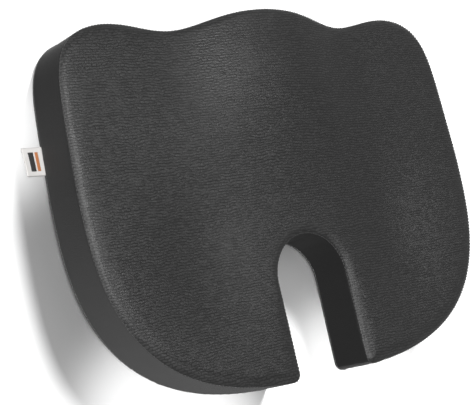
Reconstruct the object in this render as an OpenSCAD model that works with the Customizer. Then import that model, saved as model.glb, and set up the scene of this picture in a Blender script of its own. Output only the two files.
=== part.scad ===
// Contoured seat cushion with a tailbone cut-out: foam core, sewn cover and zip.
// The cushion lies flat as it does in use. +Z is up out of the seating face, +Y
// is the front (thigh) edge, and the origin is the middle of the underside on
// the surface that the cushion rests on.

/* [Overall size] */
// Width of the cushion, side to side
cushion_w = 450; // [435:1:465]
// Depth of the outline, front to back, 1.5 more than remains beside the cut-out
cushion_d = 333; // [323:1:343]
// Height of the seating face along the sides and the rear
edge_h = 49.5; // [46:0.5:54]
// Radius that rounds the top edge
edge_r = 6; // [5:0.5:7]

/* [Outline] */
// Distance of the widest place in front of the origin
widest_y = 20; // [15:1:25]
// Squareness of the front corners: the power of the superellipse in front
front_square = 6.5; // [6:0.5:7]
// Squareness of the rear corners: the power of the superellipse behind
rear_square = 2.9; // [2.7:0.1:3.1]
// Narrowing from the widest place to the front corners, as a share of the width
front_taper = 0.045; // [0.03:0.005:0.05]
// Depth of the hollow in the front edge at each thigh trough
thigh_cut = 14; // [12:1:15]
// Half width of that hollow
thigh_cut_w = 50; // [45:1:52]

/* [Seat contour] */
// Rise of the front centre between the thighs
pommel_rise = 18.5; // [12:0.5:22]
// Half width of that rise
pommel_spread = 93; // [80:1:100]
// Depth of the thigh troughs at the front edge
thigh_dip = 3.7; // [0:0.1:6]
// Distance of each thigh trough from the centre line
thigh_x = 99; // [90:1:110]
// Depth of the two hollows that the sit bones rest in
bowl_depth = 6; // [0:0.5:9]

/* [Tailbone cut-out] */
// Width of the cut-out
cutout_w = 80; // [70:1:90]
// Distance of the arch's top behind the origin
arch_back = 39; // [30:1:50]
// Radius of the two corners at the cut-out's mouth
mouth_r = 8; // [7:0.5:10]

/* [Cover] */
// Thickness of the cover's cloth
cloth_t = 1.6; // [1.2:0.1:2]
// Clearance between the foam and the cover
cover_gap = 0.3; // [0.2:0.05:0.4]
// Thickness of the seam threads
thread_t = 0.5; // [0.4:0.1:0.6]
// Angle round the top edge at which the side band meets the top panel
seam_angle = 20; // [15:1:30]

/* [Grip dots] */
// Diameter of a silicone dot
dot_d = 7; // [5:0.5:9]
// Height of a dot
dot_h = 1.2; // [1:0.1:1.4]
// Distance from dot to dot
dot_pitch = 30; // [26:1:40]
// Smallest distance from a dot's centre to the cushion's edge
dot_margin = 12; // [9:1:20]

/* [Zip] */
// Distance of the zip in front of the origin
zip_y = 100; // [96:1:106]
// Travel of the slider from closed to open
zip_travel = 300; // [260:5:310]
// Length of the pull tab from its pin
tab_l = 28; // [22:1:30]

/* [Side label] */
// Length of the label outside the seam
label_l = 21; // [16:1:24]
// Width of the label along the seam
label_w = 24; // [18:1:30]
// Distance of the label's middle in front of the origin
label_y = 57; // [50:1:66]

/* [Hidden] */

// Small overlap that keeps cuts clean
eps = 0.01;

// Heights, from the floor up
panel_z = dot_h;
panel_top = panel_z + cloth_t;
band_z = panel_top + 0.8;
foam_z = panel_top + cover_gap;
groove_top = 9.4;

// Step between the outline's points, in degrees
outline_step = 1;
// Sine of the angle over which the hollow in the front edge grows to its full depth
hollow_fade = 0.6;

// Where the raised front centre starts, and the distance over which it rises
pommel_start = -30;
pommel_run = 170;
// Where the thigh troughs start, the distance over which they deepen, and their half width
thigh_start = 40;
thigh_run = 100;
thigh_w = 39;
// Middle of the right hollow for a sit bone, its half width and half length
bowl_x = 112;
bowl_y = -45;
bowl_w = 52;
bowl_l = 70;

// Segments of the rim along a leg's rear edge and along its outer or inner side
rear_segments = 8;
side_segments = 64;

function reversed(list) = [for (i = [len(list) - 1:-1:0]) list[i]];
function mirrored(points) = [for (p = points) [-p.x, p.y]];

// Point of the outline's right half at angle a, from 90 at the front centre to -90
// at the rear centre: a superellipse, squarer in front, with a tapered front and a
// hollow in the front edge at the thigh trough
function outline_point(a) =
    let (front = a > 0,
         reach = cushion_d / 2 + (front ? -widest_y : widest_y),
         power = front ? front_square : rear_square,
         across = pow(abs(cos(a)) / (cushion_w / 2), power),
         ahead = pow(abs(sin(a)) / reach, power),
         r = pow(across + ahead, -1 / power),
         x = r * cos(a) * (1 - front_taper * max(0, sin(a))),
         hollow = thigh_cut * ease(sin(a) / hollow_fade) * bump(x, thigh_x, thigh_cut_w))
    [x, widest_y + r * sin(a) - hollow];

// Right half of the outer edge, front centre to the start of the mouth's corner
outer_edge = [
    for (a = [90:-outline_step:-90])
        let (p = outline_point(a)) if (p.y > 0 || p.x > cutout_w / 2 + mouth_r + 1) p
];
mouth_y = outer_edge[len(outer_edge) - 1].y;
arch_y = -arch_back - cutout_w / 2;

function mouth_corner(from, to) = [
    for (a = [from:-5:to])
        [cutout_w / 2 + mouth_r * (1 + cos(a)), mouth_y + mouth_r * (1 + sin(a))]
];

// Right half of the cut-out's edge, middle of the mouth's corner to the arch's top
inner_edge = concat(
    mouth_corner(225, 180),
    [for (i = [1:9]) [cutout_w / 2, mouth_y + mouth_r + (arch_y - mouth_y - mouth_r) * i / 9]],
    [for (a = [6:6:90]) [cutout_w / 2 * cos(a), arch_y + cutout_w / 2 * sin(a)]]
);

// The whole rim, counter-clockwise from the middle of the right mouth corner
outer_half = concat(outer_edge, mouth_corner(270, 225));
outer_path = concat(reversed(outer_half), [for (i = [1:len(outer_half) - 1]) mirrored(outer_half)[i]]);
inner_half = [for (i = [1:len(inner_edge) - 1]) inner_edge[i]];
inner_path = concat(mirrored(inner_half), [for (i = [len(inner_half) - 2:-1:0]) inner_half[i]]);
rim_path = concat(outer_path, inner_path);

function run_lengths(path) = [
    for (i = 0, s = 0; i < len(path);
         s = s + (i < len(path) - 1 ? norm(path[i + 1] - path[i]) : 0), i = i + 1) s
];
closed_path = concat(rim_path, [rim_path[0]]);
rim_s = run_lengths(closed_path);
rim_length = rim_s[len(rim_s) - 1];
outer_length = rim_s[len(outer_path) - 1];
rim_x = [for (i = [0:len(rim_s) - 1]) [rim_s[i], closed_path[i].x]];
rim_y = [for (i = [0:len(rim_s) - 1]) [rim_s[i], closed_path[i].y]];

// Point of the rim, and its outward normal, at distance s along it
function rim_at(s) = let (m = s - rim_length * floor(s / rim_length)) [lookup(m, rim_x), lookup(m, rim_y)];
function rim_normal(s) = let (d = rim_at(s + 1.5) - rim_at(s - 1.5)) [d.y, -d.x] / norm(d);
function rim_inset(s, inset) = rim_at(s) - inset * rim_normal(s);

// Distances along the rim of the samples: right rear edge, outer side, left
// rear edge, then the cut-out
rear_length = 128;
function spread(from, to, count) = [for (i = [0:count - 1]) from + (to - from) * i / count];
rim_samples = concat(
    spread(0, rear_length, rear_segments),
    spread(rear_length, outer_length - rear_length, side_segments),
    spread(outer_length - rear_length, outer_length, rear_segments),
    spread(outer_length, rim_length, side_segments)
);
outer_count = 2 * rear_segments + side_segments;
rim_count = len(rim_samples);

// Height of the seating face
function bump(v, centre, width) = exp(-pow((v - centre) / width, 2));
function ease(t) = let (c = min(1, max(0, t))) c * c * (3 - 2 * c);
function seat_z(p) =
    edge_h
    + pommel_rise * ease((p.y - pommel_start) / pommel_run) * bump(p.x, 0, pommel_spread)
    - thigh_dip * ease((p.y - thigh_start) / thigh_run) * bump(abs(p.x), thigh_x, thigh_w)
    - bowl_depth * bump(abs(p.x), bowl_x, bowl_w) * bump(p.y, bowl_y, bowl_l);

// One ring round the rim at a fixed height
function flat_ring(inset, z) = [for (s = rim_samples) let (p = rim_inset(s, inset)) [p.x, p.y, z]];

// One ring on the rounded edge, at radius r and angle a from the horizontal
function round_point(s, r, a) =
    let (p = rim_inset(s, edge_r - r * cos(a))) [p.x, p.y, seat_z(p) - edge_r + r * sin(a)];
function round_ring(r, a) = [for (s = rim_samples) round_point(s, r, a)];

// Angles of the rings over the rounded edge, from the top seam to the seating face
edge_angles = [seam_angle + 6, 45, 68, 90];

// Points inside a ring, blended from its four sides. The grid runs from the
// cut-out's edge out to the sides and the front.
function grid_point(ring, i, j) =
    let (n = rim_count, k = rear_segments, m = side_segments, u = i / m, v = j / k,
         inner = ring[(n - i) % n], outer = ring[k + i], right = ring[j], left = ring[2 * k + m - j],
         a = ring[0], b = ring[k], c = ring[k + m], d = ring[2 * k + m])
    (1 - v) * inner + v * outer + (1 - u) * right + u * left
    - (1 - u) * (1 - v) * a - u * (1 - v) * d - (1 - u) * v * b - u * v * c;
function on_face(p, flat, drop) = flat ? p : [p.x, p.y, seat_z(p) - drop];
function inside_points(ring, flat, drop) = [
    for (i = [1:side_segments - 1], j = [1:rear_segments - 1]) on_face(grid_point(ring, i, j), flat, drop)
];

// Index of a grid point, whose border is a ring that starts at ring_start
function grid_index(i, j, ring_start, inside_start) =
    let (n = rim_count, k = rear_segments, m = side_segments)
    j == 0 ? ring_start + (n - i) % n
    : j == k ? ring_start + k + i
    : i == 0 ? ring_start + j
    : i == m ? ring_start + 2 * k + m - j
    : inside_start + (i - 1) * (k - 1) + j - 1;
function triangles(a, b, c, d, up) = up ? [[a, c, b], [a, d, c]] : [[a, b, c], [a, c, d]];
function grid_faces(ring_start, inside_start, up) = [
    for (i = [0:side_segments - 1], j = [0:rear_segments - 1])
        each triangles(
            grid_index(i, j, ring_start, inside_start),
            grid_index(i, j + 1, ring_start, inside_start),
            grid_index(i + 1, j + 1, ring_start, inside_start),
            grid_index(i + 1, j, ring_start, inside_start),
            up)
];
function wall_faces(rings) = [
    for (r = [0:rings - 2], i = [0:rim_count - 1])
        let (a = r * rim_count + i, b = r * rim_count + (i + 1) % rim_count)
        each triangles(a, b, b + rim_count, a + rim_count, true)
];

// Closed solid from a stack of rings, with a grid over the first and the last.
// drops are how far the two grids lie below the seating face; the first is flat
// when flat_first is true.
module ring_solid(rings, flat_first, first_drop, last_drop) {
    ring_total = len(rings) * rim_count;
    inside_total = (side_segments - 1) * (rear_segments - 1);
    last = len(rings) - 1;
    polyhedron(
        points = concat(
            [for (r = rings) each r],
            inside_points(rings[0], flat_first, first_drop),
            inside_points(rings[last], false, last_drop)),
        faces = concat(
            wall_faces(len(rings)),
            grid_faces(0, ring_total, false),
            grid_faces(last * rim_count, ring_total + inside_total, true)));
}

// Closed solid that sweeps a profile along the rim. sections is a list of equal
// profiles; a closed sweep joins the last one to the first.
module sweep(sections, closed) {
    n = len(sections[0]);
    count = len(sections);
    steps = closed ? count : count - 1;
    sides = [
        for (i = [0:steps - 1], j = [0:n - 1])
            let (a = i * n, b = ((i + 1) % count) * n, k = (j + 1) % n)
            each triangles(a + j, b + j, b + k, a + k, true)
    ];
    ends = closed ? [] : [reversed([for (j = [0:n - 1]) j]), [for (j = [0:n - 1]) (count - 1) * n + j]];
    polyhedron(points = [for (s = sections) each s], faces = concat(sides, ends));
}

// Profile of a band at distance s: up the outside, over the rounded edge and down
band_angles = [0, seam_angle - 6];
function flat_point(s, inset, z) = let (p = rim_inset(s, inset)) [p.x, p.y, z];
function band_profile(s) = concat(
    [flat_point(s, 0, band_z)],
    [for (a = band_angles) round_point(s, edge_r, a)],
    [for (a = reversed(band_angles)) round_point(s, edge_r - cloth_t, a)],
    [flat_point(s, cloth_t, band_z)]
);

// Square thread that runs round the rim at inset and z, or round the top seam
function thread_profile(p, normal, h) = [
    [p.x, p.y, p.z - h] + normal * h, [p.x, p.y, p.z + h] + normal * h,
    [p.x, p.y, p.z + h] - normal * h, [p.x, p.y, p.z - h] - normal * h
];
function outward(s) = let (m = rim_normal(s)) [m.x, m.y, 0];

module foam_core() {
    r = edge_r - cloth_t - cover_gap;
    color("#e8dfc8") difference() {
        ring_solid(
            concat([flat_ring(cloth_t + cover_gap, foam_z)],
                   [for (a = concat([0], edge_angles)) round_ring(r, a)]),
            true, 0, cloth_t + cover_gap);
        translate([-channel_l / 2 - 6, zip_y - 16, 0]) cube([channel_l + 12, 32, groove_top]);
    }
}

module top_panel() {
    color("#3d3d3f")
    ring_solid(
        concat([for (a = reversed(edge_angles)) round_ring(edge_r - cloth_t, a)],
               [for (a = edge_angles) round_ring(edge_r, a)]),
        false, cloth_t, 0);
}

// The bands stop short of each other by the thread's width at the mouth's corners
band_end = 0.5;
module side_band() {
    spots = concat([band_end], [for (i = [1:outer_count - 1]) rim_samples[i]], [outer_length - band_end]);
    color("#333335") sweep([for (s = spots) band_profile(s)], false);
}

module cutout_band() {
    spots = concat([outer_length + band_end], [for (i = [outer_count + 1:rim_count - 1]) rim_samples[i]],
                   [rim_length - band_end]);
    color("#2d2d2f") sweep([for (s = spots) band_profile(s)], false);
}

module rim_outline(inset) {
    polygon([for (s = rim_samples) rim_inset(s, inset)]);
}

// Zip: heights are from the floor, and each half starts at the zip's middle line
channel_l = zip_travel + 2 * tab_l + 20;
channel_half = 7;
hem_w = 4;
hem_top = 5.8;
tape_z = 6;
tape_t = 0.6;
tape_in = 3.6;
tape_out = 14;
coil_in = 0.8;
coil_out = 3.4;
coil_z = 5.2;
coil_h = 2.2;
slider_l = 14;
coil_l = zip_travel + slider_l + 2;
stop_l = 3;
panel_split = 0.1;

// Half of the underside, with the hem that is turned up along the zip
module bottom_panel(front) {
    side = front ? 1 : -1;
    difference() {
        translate([0, 0, panel_z]) linear_extrude(cloth_t) rim_outline(0);
        // The other panel's side of the zip
        translate([-cushion_w, zip_y + (front ? panel_split - 2 * cushion_d : -panel_split), 0])
            cube([cushion_w * 2, cushion_d * 2, edge_h]);
        // Opening over the zip
        translate([-channel_l / 2, zip_y - channel_half, 0]) cube([channel_l, 2 * channel_half, edge_h]);
    }
    translate([-channel_l / 2, zip_y + side * (channel_half + hem_w / 2) - hem_w / 2, panel_z])
        cube([channel_l, hem_w, hem_top - panel_z]);
}

module bottom_panel_front() {
    color("#28282a") bottom_panel(true);
}

module bottom_panel_rear() {
    color("#28282a") bottom_panel(false);
}

// Smallest distance from a point to the rim, and whether the point is inside it
function rim_distance(p) = min([for (s = rim_samples) norm(rim_at(s) - p)]);
function crossings(p) = [
    for (i = [0:rim_count - 1])
        let (a = rim_at(rim_samples[i]), b = rim_at(rim_samples[(i + 1) % rim_count]))
        if ((a.y > p.y) != (b.y > p.y) && p.x < a.x + (b.x - a.x) * (p.y - a.y) / (b.y - a.y)) 1
];
function in_rim(p) = len(crossings(p)) % 2 == 1;
function clear_of_zip(p) =
    abs(p.y - zip_y) > channel_half + hem_w + dot_d / 2 + 1 || abs(p.x) > channel_l / 2 + dot_d;

module grip_dots() {
    row_pitch = dot_pitch * sqrt(3) / 2;
    rows = ceil(cushion_d / 2 / row_pitch);
    columns = ceil(cushion_w / 2 / dot_pitch);
    color("#4a4a4d")
    for (j = [-rows:rows], i = [-columns:columns]) {
        p = [(i + (abs(j) % 2) / 2) * dot_pitch, j * row_pitch];
        if (in_rim(p) && rim_distance(p) > dot_margin && clear_of_zip(p)) {
            translate([p.x, p.y, 0]) cylinder(d = dot_d, h = dot_h, $fn = 32);
        }
    }
}

module top_seam_thread() {
    color("#29292b")
    sweep([for (s = rim_samples)
        thread_profile(round_point(s, edge_r - cloth_t / 2, seam_angle), outward(s), thread_t / 2)], true);
}

module bottom_seam_thread() {
    seam_z = (panel_top + band_z) / 2;
    color("#29292b")
    sweep([for (s = rim_samples)
        thread_profile(flat_point(s, cloth_t / 2, seam_z), outward(s), thread_t / 2)], true);
}

module band_join_threads() {
    color("#29292b")
    for (s = [0, outer_length]) {
        p = rim_inset(s, cloth_t / 2);
        top = seat_z(p) - edge_r;
        translate([p.x, p.y, band_z + thread_t])
            cylinder(d = thread_t, h = top - band_z - thread_t, $fn = 24);
    }
}

module zip_tape(side) {
    translate([-channel_l / 2 - 4, zip_y + (side > 0 ? tape_in : -tape_out), tape_z])
        cube([channel_l + 8, tape_out - tape_in, tape_t]);
}

module zip_tape_front() {
    color("#1f1f21") zip_tape(1);
}

module zip_tape_rear() {
    color("#1f1f21") zip_tape(-1);
}

// Half of the coil: a straight inner face and a round back
module zip_coil(side) {
    width = coil_out - coil_in;
    round = coil_h / 2;
    translate([-coil_l / 2, zip_y, coil_z + round]) rotate([90, 0, 90]) linear_extrude(coil_l) union() {
        translate([side > 0 ? coil_in : -coil_out + round, -round]) square([width - round, coil_h]);
        translate([side * (coil_out - round), 0]) circle(r = round, $fn = 32);
    }
}

module zip_coil_front() {
    color("#18181a") zip_coil(1);
}

module zip_coil_rear() {
    color("#18181a") zip_coil(-1);
}

// Row of stitches that holds the tape to the hem, on the hem's lower face
module zip_stitch(side) {
    row_y = zip_y + side * (channel_half + hem_w / 2);
    translate([-channel_l / 2 + 2, row_y - thread_t / 2, panel_z - 0.3])
        cube([channel_l - 4, thread_t, 0.3]);
}

module zip_stitch_front() {
    color("#29292b") zip_stitch(1);
}

module zip_stitch_rear() {
    color("#29292b") zip_stitch(-1);
}

// Metal stop on one half of the zip, with a slot for the tape
module zip_stop_half(side, x) {
    width = 5.4 - coil_in;
    translate([x, zip_y + (side > 0 ? coil_in : -coil_in - width), 4.9]) difference() {
        cube([stop_l, width, 2.8]);
        translate([-eps, side > 0 ? 2.6 : -eps, 0.9]) cube([stop_l + 1, width - 2.6 + eps, 1]);
    }
}

module zip_top_stops() {
    x = -coil_l / 2 - stop_l - 0.3;
    color("#8c8c90") {
        zip_stop_half(1, x);
        zip_stop_half(-1, x);
    }
}

module zip_bottom_stop() {
    x = coil_l / 2 + 0.3;
    color("#8c8c90") {
        zip_stop_half(1, x);
        zip_stop_half(-1, x);
        translate([x, zip_y - coil_in, 4.9]) cube([stop_l, 2 * coil_in, 2.8]);
    }
}

// Slider: two plates that enclose the coil, joined by the wedge between its halves
slider_x = -zip_travel / 2;
slider_w = 10.4;
outer_plate_z = 3.9;
inner_plate_z = 7.7;
plate_t = 1;
flange_t = 0.85;
bridge_z = 1.2;
pin_z = 2.95;
pin_d = 1.3;

module slider_plate(z) {
    // Wide where the two halves come apart, narrower where they are joined
    translate([0, 0, z]) linear_extrude(plate_t)
        polygon([
            [-slider_l / 2, -3.6], [-slider_l / 2 + 2, -slider_w / 2],
            [slider_l / 2 - 1.5, -slider_w / 2], [slider_l / 2, -slider_w / 2 + 1.5],
            [slider_l / 2, slider_w / 2 - 1.5], [slider_l / 2 - 1.5, slider_w / 2],
            [-slider_l / 2 + 2, slider_w / 2], [-slider_l / 2, 3.6]
        ]);
}

module zip_slider() {
    flange_y = 3.75;
    flange_w = slider_w / 2 - flange_y;
    color("#8c8c90")
    translate([slider_x, zip_y, 0]) {
        slider_plate(outer_plate_z);
        slider_plate(inner_plate_z);
        translate([1, -0.5, outer_plate_z + plate_t / 2])
            cube([4.5, 1, inner_plate_z - outer_plate_z]);
        for (side = [-1, 1], z = [outer_plate_z + plate_t, inner_plate_z - flange_t])
            translate([-slider_l / 2 + 2.5, side > 0 ? flange_y : -flange_y - flange_w, z - eps])
                cube([slider_l - 5, flange_w, flange_t + 2 * eps]);
        // Bridge that holds the pull tab's pin
        difference() {
            translate([-4.6, -1.2, bridge_z]) cube([9.2, 2.4, outer_plate_z - bridge_z + eps]);
            translate([-3.4, -2, bridge_z + 0.8]) cube([6.8, 4, outer_plate_z - bridge_z - 0.8]);
        }
    }
}

// Pull tab: a flat tab with a window for the bridge and a cross pin at its end
module zip_pull() {
    width = 7;
    tab_t = 1.2;
    window_w = 3.2;
    window_l = 6.4;
    color("#8c8c90")
    translate([slider_x, zip_y, pin_z]) {
        rotate([90, 0, 0]) cylinder(d = pin_d, h = width - 0.4, center = true, $fn = 32);
        translate([0, 0, -tab_t / 2]) difference() {
            union() {
                translate([0, -width / 2, 0]) cube([tab_l - width / 2, width, tab_t]);
                translate([tab_l - width / 2, 0, 0]) cylinder(d = width, h = tab_t, $fn = 48);
            }
            translate([-1, -window_w / 2, -1]) cube([window_l + 1, window_w, tab_t + 2]);
            translate([tab_l - width / 2, 0, -1]) cylinder(d = 2.6, h = tab_t + 2, $fn = 32);
        }
    }
}

// Label: a strip folded back on itself, whose two ends stop at the side's seam
label_edge_x = -220.5 * cushion_w / 450;
label_layer = 0.5;
label_fold_r = 0.8;
label_z = panel_top + 0.4;
module side_label() {
    color("#e4e2df") difference() {
        translate([label_edge_x - label_l + label_fold_r, label_y + label_w / 2, label_z])
            rotate([90, 0, 0]) linear_extrude(label_w) difference() {
                union() {
                    translate([0, -label_fold_r]) square([label_l + 3, 2 * label_fold_r]);
                    circle(r = label_fold_r, $fn = 24);
                }
                translate([0, label_layer - label_fold_r])
                    square([label_l + 4, 2 * (label_fold_r - label_layer)]);
                circle(r = label_fold_r - label_layer, $fn = 24);
            }
        linear_extrude(edge_h) rim_outline(-0.1);
    }
}

// Two plain stripes on the label's upper face
module label_stripes() {
    for (stripe = [[5, 5, "#23201f"], [11.5, 3, "#a8663f"]])
        color(stripe[2])
        translate([label_edge_x - label_l + stripe[0], label_y - label_w / 2 + 4, label_z + label_fold_r])
            cube([stripe[1], label_w - 8, 0.2]);
}

foam_core();
top_panel();
side_band();
cutout_band();
bottom_panel_front();
bottom_panel_rear();
grip_dots();
top_seam_thread();
bottom_seam_thread();
band_join_threads();
zip_tape_front();
zip_tape_rear();
zip_coil_front();
zip_coil_rear();
zip_stitch_front();
zip_stitch_rear();
zip_top_stops();
zip_bottom_stop();
zip_slider();
zip_pull();
side_label();
label_stripes();
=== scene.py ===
"""Looks of a contoured seat cushion with a tailbone cut-out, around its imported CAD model.

Everything is in metres in the CAD's frame: +Z up out of the seating face, +Y to the
front edge, the origin on the floor under the middle. One closed cover is built on the
CAD's outline, simulated as cloth under a little pressure, and then cut along its seams
into the sewn panels.
"""

import math

import bpy
import numpy as np
from mathutils import Matrix, Vector
from mathutils.geometry import delaunay_2d_cdt


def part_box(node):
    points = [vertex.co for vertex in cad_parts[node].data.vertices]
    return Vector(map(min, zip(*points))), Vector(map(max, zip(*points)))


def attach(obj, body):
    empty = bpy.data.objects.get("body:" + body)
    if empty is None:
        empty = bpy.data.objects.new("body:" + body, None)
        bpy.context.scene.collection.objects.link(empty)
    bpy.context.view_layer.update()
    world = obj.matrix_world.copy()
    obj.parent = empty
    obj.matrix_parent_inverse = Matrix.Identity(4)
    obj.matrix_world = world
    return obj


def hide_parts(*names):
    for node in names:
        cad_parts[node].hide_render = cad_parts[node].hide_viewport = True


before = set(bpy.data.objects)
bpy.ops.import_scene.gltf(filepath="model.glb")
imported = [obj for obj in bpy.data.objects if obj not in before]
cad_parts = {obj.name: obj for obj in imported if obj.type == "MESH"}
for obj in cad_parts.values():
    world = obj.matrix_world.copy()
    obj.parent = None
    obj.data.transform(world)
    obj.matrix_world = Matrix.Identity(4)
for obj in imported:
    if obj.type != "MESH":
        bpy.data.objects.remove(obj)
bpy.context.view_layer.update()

MM = 0.001
BODY = "cushion"
SCENE = bpy.context.scene


# ---------------------------------------------------------------- camera

CAMERA_AT = Vector((-772, -136, 903)) * MM
CAMERA_TARGET = Vector((-54.5, -1, 30)) * MM
CAMERA_ROLL = 69
CAMERA_LENS = 98.4


def add_camera():
    """Camera that looks down on the seating face from the left, turned on its side."""
    data = bpy.data.cameras.new("camera")
    data.lens = CAMERA_LENS
    data.clip_start, data.clip_end = 0.01, 30
    camera = bpy.data.objects.new("camera", data)
    SCENE.collection.objects.link(camera)
    look = (CAMERA_TARGET - CAMERA_AT).to_track_quat("-Z", "Y").to_matrix().to_4x4()
    roll = Matrix.Rotation(math.radians(CAMERA_ROLL), 4, "Z")
    camera.matrix_world = Matrix.Translation(CAMERA_AT) @ look @ roll
    SCENE.camera = camera


add_camera()


# ---------------------------------------------------------------- sizes, from the CAD

def box(node):
    low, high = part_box(node)
    return np.array(low), np.array(high)


BAND_HIGH = box("side_band")[1]
TOP_HIGH = box("top_panel")[1]
PANEL_Z = box("grip_dots")[1][2]

# Outline: a superellipse, squarer in front, with a tapered front and a hollow in the
# front edge at each thigh trough
WIDEST_Y = 20 * MM
FRONT_SQUARE, REAR_SQUARE = 6.5, 2.9
FRONT_TAPER = 0.045
THIGH_CUT, THIGH_CUT_WIDTH = 14 * MM, 50 * MM
# Sine of the angle over which the hollow in the front edge grows to its full depth
HOLLOW_FADE = 0.6
CUTOUT_HALF = 40 * MM
ARCH_BACK = 39 * MM
MOUTH_R = 8 * MM

# Rounded top edge, whose lower part belongs to the side band
EDGE_R = 6 * MM
SEAM_ANGLE = 20
CLOTH = 1.2 * MM

# Contour of the seating face: raised front centre, thigh troughs, seat hollows
POMMEL_RISE, POMMEL_SPREAD = 18.5 * MM, 93 * MM
POMMEL_START, POMMEL_RUN = -30 * MM, 170 * MM
THIGH_DIP, THIGH_X, THIGH_WIDTH = 3.7 * MM, 99 * MM, 39 * MM
THIGH_START, THIGH_RUN = 40 * MM, 100 * MM
BOWL_DEPTH, BOWL_X, BOWL_WIDTH = 6 * MM, 112 * MM, 52 * MM
BOWL_Y, BOWL_LENGTH = -45 * MM, 70 * MM
EDGE_H = TOP_HIGH[2] - POMMEL_RISE

# Zip: its middle line, and the opening in the underside over it
TAPE_LOW, TAPE_HIGH = box("zip_tape_front")
COIL_LOW, COIL_HIGH = box("zip_coil_front")
COIL_REAR_HIGH = box("zip_coil_rear")[1]
ROW_LOW, ROW_HIGH = box("zip_stitch_front")
ZIP_Y = (COIL_LOW[1] + COIL_REAR_HIGH[1]) / 2
HEM_W = 4 * MM
CHANNEL_HALF_W = (ROW_LOW[1] + ROW_HIGH[1]) / 2 - ZIP_Y - HEM_W / 2
CHANNEL_HALF_L = ROW_HIGH[0] + 2 * MM


# ---------------------------------------------------------------- shape of the cushion

def ease(t):
    t = np.clip(t, 0, 1)
    return t * t * (3 - 2 * t)


def hump(v, centre, width):
    return np.exp(-(((v - centre) / width) ** 2))


def seat_z(x, y):
    """Height of the seating face."""
    side = np.abs(x)
    pommel = POMMEL_RISE * ease((y - POMMEL_START) / POMMEL_RUN) * hump(x, 0, POMMEL_SPREAD)
    thigh = THIGH_DIP * ease((y - THIGH_START) / THIGH_RUN) * hump(side, THIGH_X, THIGH_WIDTH)
    bowl = BOWL_DEPTH * hump(side, BOWL_X, BOWL_WIDTH) * hump(y, BOWL_Y, BOWL_LENGTH)
    return EDGE_H + pommel - thigh - bowl


def outline(count):
    """Points of the outline's right half, from the front centre to the rear centre."""
    half_w = BAND_HIGH[0]
    half_d = BAND_HIGH[1] + THIGH_CUT * hump(0, THIGH_X, THIGH_CUT_WIDTH)
    a = np.radians(np.linspace(90, -90, count))
    across, ahead = np.cos(a), np.sin(a)
    reach = np.where(ahead > 0, half_d - WIDEST_Y, half_d + WIDEST_Y)
    power = np.where(ahead > 0, FRONT_SQUARE, REAR_SQUARE)
    r = ((across / half_w) ** power + (np.abs(ahead) / reach) ** power) ** (-1 / power)
    x = r * across * (1 - FRONT_TAPER * np.maximum(0, ahead))
    hollow = THIGH_CUT * ease(ahead / HOLLOW_FADE) * hump(x, THIGH_X, THIGH_CUT_WIDTH)
    return np.column_stack([x, WIDEST_Y + r * ahead - hollow])


def arc(centre, radius, start, end, count):
    a = np.radians(np.linspace(start, end, count))
    return np.column_stack([centre[0] + radius * np.cos(a), centre[1] + radius * np.sin(a)])


# Numbers of points on the stretches of the rim
HALF_POINTS, CORNER_POINTS, LEG_POINTS, ARCH_POINTS = 721, 16, 30, 46


class Rim:
    """The cushion's outline, counter-clockwise from the middle of the right mouth corner."""

    def __init__(self):
        half = outline(HALF_POINTS)
        outer = half[(half[:, 1] > 0) | (half[:, 0] > CUTOUT_HALF + MOUTH_R + MM)]
        mouth = (CUTOUT_HALF + MOUTH_R, outer[-1, 1] + MOUTH_R)
        arch_y = -ARCH_BACK - CUTOUT_HALF
        outer = np.vstack([outer, arc(mouth, MOUTH_R, 270, 225, CORNER_POINTS)])
        leg_y = np.linspace(mouth[1], arch_y, LEG_POINTS + 1)[1:]
        leg = np.column_stack([np.full(LEG_POINTS, CUTOUT_HALF), leg_y])
        arch = arc((0, arch_y), CUTOUT_HALF, 0, 90, ARCH_POINTS)[1:]
        inner = np.vstack([arc(mouth, MOUTH_R, 225, 180, CORNER_POINTS)[1:], leg, arch])
        outer_path = np.vstack([outer[::-1], (outer * (-1, 1))[1:]])
        inner_path = np.vstack([inner * (-1, 1), inner[-2::-1]])
        self.path = np.vstack([outer_path, inner_path, outer_path[:1]])
        self.s = np.concatenate([[0], np.cumsum(np.hypot(*np.diff(self.path, axis=0).T))])
        self.length = self.s[-1]
        self.outer_length = self.s[len(outer_path) - 1]

    def at(self, s):
        s = np.mod(s, self.length)
        return np.column_stack([np.interp(s, self.s, self.path[:, k]) for k in (0, 1)])

    def normal(self, s):
        step = 1.5 * MM
        d = self.at(s + step) - self.at(s - step)
        n = np.column_stack([d[:, 1], -d[:, 0]])
        return n / np.linalg.norm(n, axis=1, keepdims=True)

    def inset(self, s, distance):
        return self.at(s) - self.normal(s) * distance


RIM = Rim()
# Length of each leg's rear edge along the rim
REAR_LENGTH = 128 * MM


def rim_samples(rear, side):
    """Distances along the rim: right rear edge, outer side, left rear edge, cut-out."""
    outer, total = RIM.outer_length, RIM.length
    spans = [(0, REAR_LENGTH, rear), (REAR_LENGTH, outer - REAR_LENGTH, side),
             (outer - REAR_LENGTH, outer, rear), (outer, total, side)]
    return np.concatenate([np.linspace(a, b, n, endpoint=False) for a, b, n in spans])


def at_zip(s, sign):
    """Number of the sample that is moved to the zip's line, on the right (1) or left (-1)."""
    p = RIM.at(s)
    off = np.where(sign * p[:, 0] > BAND_HIGH[0] / 2, np.abs(p[:, 1] - ZIP_Y), 1.0)
    nearest = int(np.argmin(off))
    s[nearest] += sign * (ZIP_Y - p[nearest, 1])
    return nearest


def flat_ring(s, inset, z):
    p = RIM.inset(s, inset)
    return np.column_stack([p, np.broadcast_to(z, len(s))])


def round_ring(s, radius, degrees):
    """Ring on the rounded top edge, at an angle from the horizontal."""
    a = math.radians(degrees)
    p = RIM.inset(s, EDGE_R - radius * math.cos(a))
    return np.column_stack([p, seat_z(*p.T) - EDGE_R + radius * math.sin(a)])


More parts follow.
